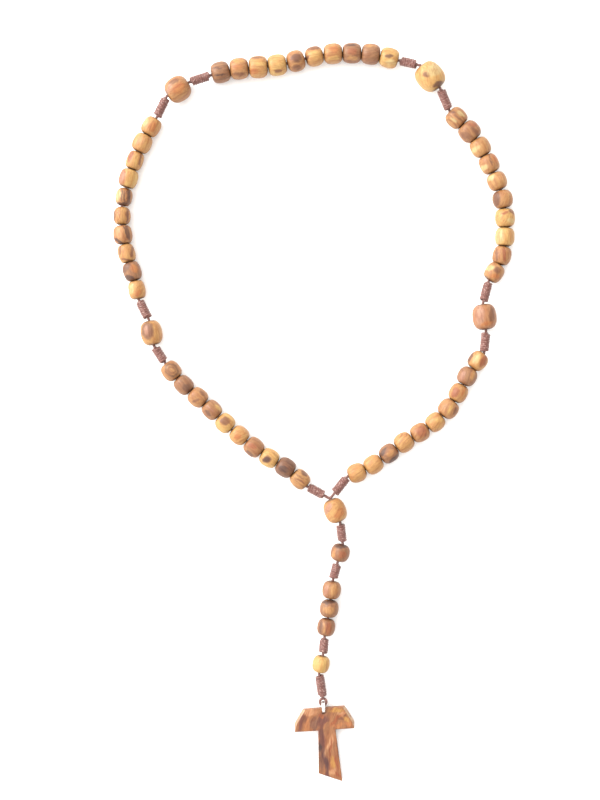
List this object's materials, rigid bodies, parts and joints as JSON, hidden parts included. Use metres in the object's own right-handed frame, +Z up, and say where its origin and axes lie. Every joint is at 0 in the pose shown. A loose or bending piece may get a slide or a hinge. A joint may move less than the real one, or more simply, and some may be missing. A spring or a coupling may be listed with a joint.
{
  "type": "rosary",
  "caption": "Loop of threaded olive-wood beads with wound cord knots between its groups and a pendant with a tau cross on a wire ring.",
  "frame": {"origin": "middle of the footprint, on the surface that the laid-out beads rest on", "axes": "+Z up from the surface, +Y from the cross towards the top of the loop, +X to the right of it"},
  "size_m": [0.1689, 0.3097, 0.0116],
  "materials": {
    "olive_wood": "satin, hand turned, striped grain",
    "cross_wood": "satin, flamed grain",
    "cord": "twisted reddish-brown cord",
    "ring_metal": "bright"
  },
  "bodies": {
    "centre": {"centre_bead": "olive_wood", "centre_bead_cord": "cord"},
    "decade_1_first": {"decade_1_first_beads": "olive_wood", "decade_1_first_cord": "cord", "loop_knot_1": "cord"},
    "decade_1_last": {"decade_1_last_beads": "olive_wood", "decade_1_last_cord": "cord", "loop_knot_2": "cord", "large_bead_1_cord": "cord"},
    "decade_2_first": {"decade_2_first_beads": "olive_wood", "decade_2_first_cord": "cord", "loop_knot_3": "cord"},
    "decade_2_last": {"decade_2_last_beads": "olive_wood", "decade_2_last_cord": "cord", "loop_knot_4": "cord", "large_bead_2_cord": "cord"},
    "decade_3_first": {"decade_3_first_beads": "olive_wood", "decade_3_first_cord": "cord", "loop_knot_5": "cord"},
    "decade_5_last": {"decade_5_last_beads": "olive_wood", "decade_5_last_cord": "cord", "loop_knot_10": "cord"},
    "decade_5_first": {"decade_5_first_beads": "olive_wood", "decade_5_first_cord": "cord", "loop_knot_9": "cord", "large_bead_4_cord": "cord"},
    "decade_4_last": {"decade_4_last_beads": "olive_wood", "decade_4_last_cord": "cord", "loop_knot_8": "cord"},
    "decade_4_first": {"decade_4_first_beads": "olive_wood", "decade_4_first_cord": "cord", "loop_knot_7": "cord", "large_bead_3_cord": "cord"},
    "decade_3_last": {"decade_3_last_beads": "olive_wood", "decade_3_last_cord": "cord", "loop_knot_6": "cord"},
    "large_bead_1": {"large_bead_1": "olive_wood"},
    "large_bead_2": {"large_bead_2": "olive_wood"},
    "large_bead_3": {"large_bead_3": "olive_wood"},
    "large_bead_4": {"large_bead_4": "olive_wood"},
    "pendant_1": {"pendant_knot_1": "cord", "pendant_cord_1": "cord"},
    "pendant_2": {"pendant_knot_2": "cord", "pendant_cord_2": "cord"},
    "pendant_3": {"pendant_knot_3": "cord", "pendant_cord_3": "cord"},
    "pendant_4": {"pendant_knot_4": "cord", "end_loop": "cord"},
    "pendant_bead_1": {"pendant_bead_1": "olive_wood"},
    "pendant_bead_2": {"pendant_bead_2": "olive_wood"},
    "pendant_bead_3": {"pendant_bead_3": "olive_wood"},
    "pendant_bead_4": {"pendant_bead_4": "olive_wood"},
    "pendant_bead_5": {"pendant_bead_5": "olive_wood"},
    "jump_ring": {"jump_ring": "ring_metal"},
    "tau_cross": {"tau_cross": "cross_wood"}
  },
  "joints": [
    {"name": "loop_fold", "type": "hinge", "parent": "centre", "child": "decade_1_first", "pos_m": [0.00699, -0.03593, 0.00465], "axis": [0, 0, 1], "range_deg": [-7, 7]},
    {"name": "bend_decade_1_last", "type": "hinge", "parent": "decade_1_first", "child": "decade_1_last", "pos_m": [0.0481, -0.0064, 0.00415], "axis": [0, 0, 1], "range_deg": [-2.3, 2.3]},
    {"name": "bend_decade_2_first", "type": "hinge", "parent": "decade_1_last", "child": "decade_2_first", "pos_m": [0.07094, 0.04586, 0.0051], "axis": [0, 0, 1], "range_deg": [-4.8, 4.8]},
    {"name": "bend_decade_2_last", "type": "hinge", "parent": "decade_2_first", "child": "decade_2_last", "pos_m": [0.0785, 0.0934, 0.00415], "axis": [0, 0, 1], "range_deg": [-6.8, 6.8]},
    {"name": "bend_decade_3_first", "type": "hinge", "parent": "decade_2_last", "child": "decade_3_first", "pos_m": [0.04473, 0.14528, 0.0058], "axis": [0, 0, 1], "range_deg": [-2.7, 2.7]},
    {"name": "bend_decade_5_last", "type": "hinge", "parent": "centre", "child": "decade_5_last", "pos_m": [0.00699, -0.03593, 0.00465], "axis": [0, 0, 1], "range_deg": [-7.1, 7.1]},
    {"name": "bend_decade_5_first", "type": "hinge", "parent": "decade_5_last", "child": "decade_5_first", "pos_m": [-0.0341, -0.007, 0.00415], "axis": [0, 0, 1], "range_deg": [-4.2, 4.2]},
    {"name": "bend_decade_4_last", "type": "hinge", "parent": "decade_5_first", "child": "decade_4_last", "pos_m": [-0.06885, 0.0389, 0.0046], "axis": [0, 0, 1], "range_deg": [-2.8, 2.8]},
    {"name": "bend_decade_4_first", "type": "hinge", "parent": "decade_4_last", "child": "decade_4_first", "pos_m": [-0.0802, 0.0866, 0.00415], "axis": [0, 0, 1], "range_deg": [-7.8, 7.8]},
    {"name": "bend_decade_3_last", "type": "hinge", "parent": "decade_4_first", "child": "decade_3_last", "pos_m": [-0.05212, 0.13826, 0.0054], "axis": [0, 0, 1], "range_deg": [-3.3, 3.3]},
    {"name": "spin_large_bead_1", "type": "hinge", "parent": "decade_1_last", "child": "large_bead_1", "pos_m": [0.0716, 0.0402, 0.0051], "axis": [-0.1149, 0.9934, 0], "continuous": true},
    {"name": "spin_large_bead_2", "type": "hinge", "parent": "decade_2_last", "child": "large_bead_2", "pos_m": [0.0488, 0.1406, 0.0058], "axis": [-0.6561, 0.7547, 0], "continuous": true},
    {"name": "spin_large_bead_3", "type": "hinge", "parent": "decade_4_first", "child": "large_bead_3", "pos_m": [-0.0567, 0.1354, 0.0054], "axis": [-0.848, -0.5299, 0], "continuous": true},
    {"name": "spin_large_bead_4", "type": "hinge", "parent": "decade_5_first", "child": "large_bead_4", "pos_m": [-0.0678, 0.0335, 0.0046], "axis": [0.1908, -0.9816, 0], "continuous": true},
    {"name": "bend_pendant_1", "type": "hinge", "parent": "centre", "child": "pendant_1", "pos_m": [0.01121, -0.04587, 0.00465], "axis": [0, 0, 1], "range_deg": [-18, 18]},
    {"name": "bend_pendant_2", "type": "hinge", "parent": "pendant_1", "child": "pendant_2", "pos_m": [0.0102, -0.0624, 0.00415], "axis": [0, 0, -1], "range_deg": [-18, 18]},
    {"name": "bend_pendant_3", "type": "hinge", "parent": "pendant_2", "child": "pendant_3", "pos_m": [0.0047, -0.0937, 0.00415], "axis": [0, 0, 1], "range_deg": [-18, 18]},
    {"name": "bend_pendant_4", "type": "hinge", "parent": "pendant_3", "child": "pendant_4", "pos_m": [0.0024, -0.1092, 0.00415], "axis": [0, 0, -1], "range_deg": [-18, 18]},
    {"name": "spin_pendant_bead_1", "type": "hinge", "parent": "pendant_1", "child": "pendant_bead_1", "pos_m": [0.01125, -0.0586, 0.00415], "axis": [-0.2663, -0.9639, 0], "continuous": true},
    {"name": "spin_pendant_bead_2", "type": "hinge", "parent": "pendant_2", "child": "pendant_bead_2", "pos_m": [0.00765, -0.0742, 0.00415], "axis": [-0.1146, -0.9934, 0], "continuous": true},
    {"name": "spin_pendant_bead_3", "type": "hinge", "parent": "pendant_2", "child": "pendant_bead_3", "pos_m": [0.00665, -0.082, 0.00415], "axis": [-0.1396, -0.9902, 0], "continuous": true},
    {"name": "spin_pendant_bead_4", "type": "hinge", "parent": "pendant_2", "child": "pendant_bead_4", "pos_m": [0.0054, -0.0898, 0.00415], "axis": [-0.1767, -0.9843, 0], "continuous": true},
    {"name": "spin_pendant_bead_5", "type": "hinge", "parent": "pendant_3", "child": "pendant_bead_5", "pos_m": [0.0032, -0.10535, 0.00415], "axis": [-0.2034, -0.9791, 0], "continuous": true},
    {"name": "ring_lift", "type": "hinge", "parent": "pendant_4", "child": "jump_ring", "pos_m": [0.00419, -0.12275, 0.0026], "axis": [-0.9969, -0.0785, 0], "range_deg": [0, 25]},
    {"name": "cross_lift", "type": "hinge", "parent": "jump_ring", "child": "tau_cross", "pos_m": [0.00426, -0.1236, 0.0026], "axis": [-0.9969, -0.0785, 0], "range_deg": [0, 45]}
  ],
  "couplings": [
    {"joint": "bend_decade_1_last", "follows": "loop_fold", "ratio": -0.3164},
    {"joint": "bend_decade_2_first", "follows": "loop_fold", "ratio": -0.6786},
    {"joint": "bend_decade_2_last", "follows": "loop_fold", "ratio": -0.95},
    {"joint": "bend_decade_3_first", "follows": "loop_fold", "ratio": 0.3794},
    {"joint": "bend_decade_5_last", "follows": "loop_fold", "ratio": -0.9966},
    {"joint": "bend_decade_5_first", "follows": "loop_fold", "ratio": 0.5938},
    {"joint": "bend_decade_4_last", "follows": "loop_fold", "ratio": 0.3909},
    {"joint": "bend_decade_4_first", "follows": "loop_fold", "ratio": 1.1},
    {"joint": "bend_decade_3_last", "follows": "loop_fold", "ratio": -0.464}
  ]
}
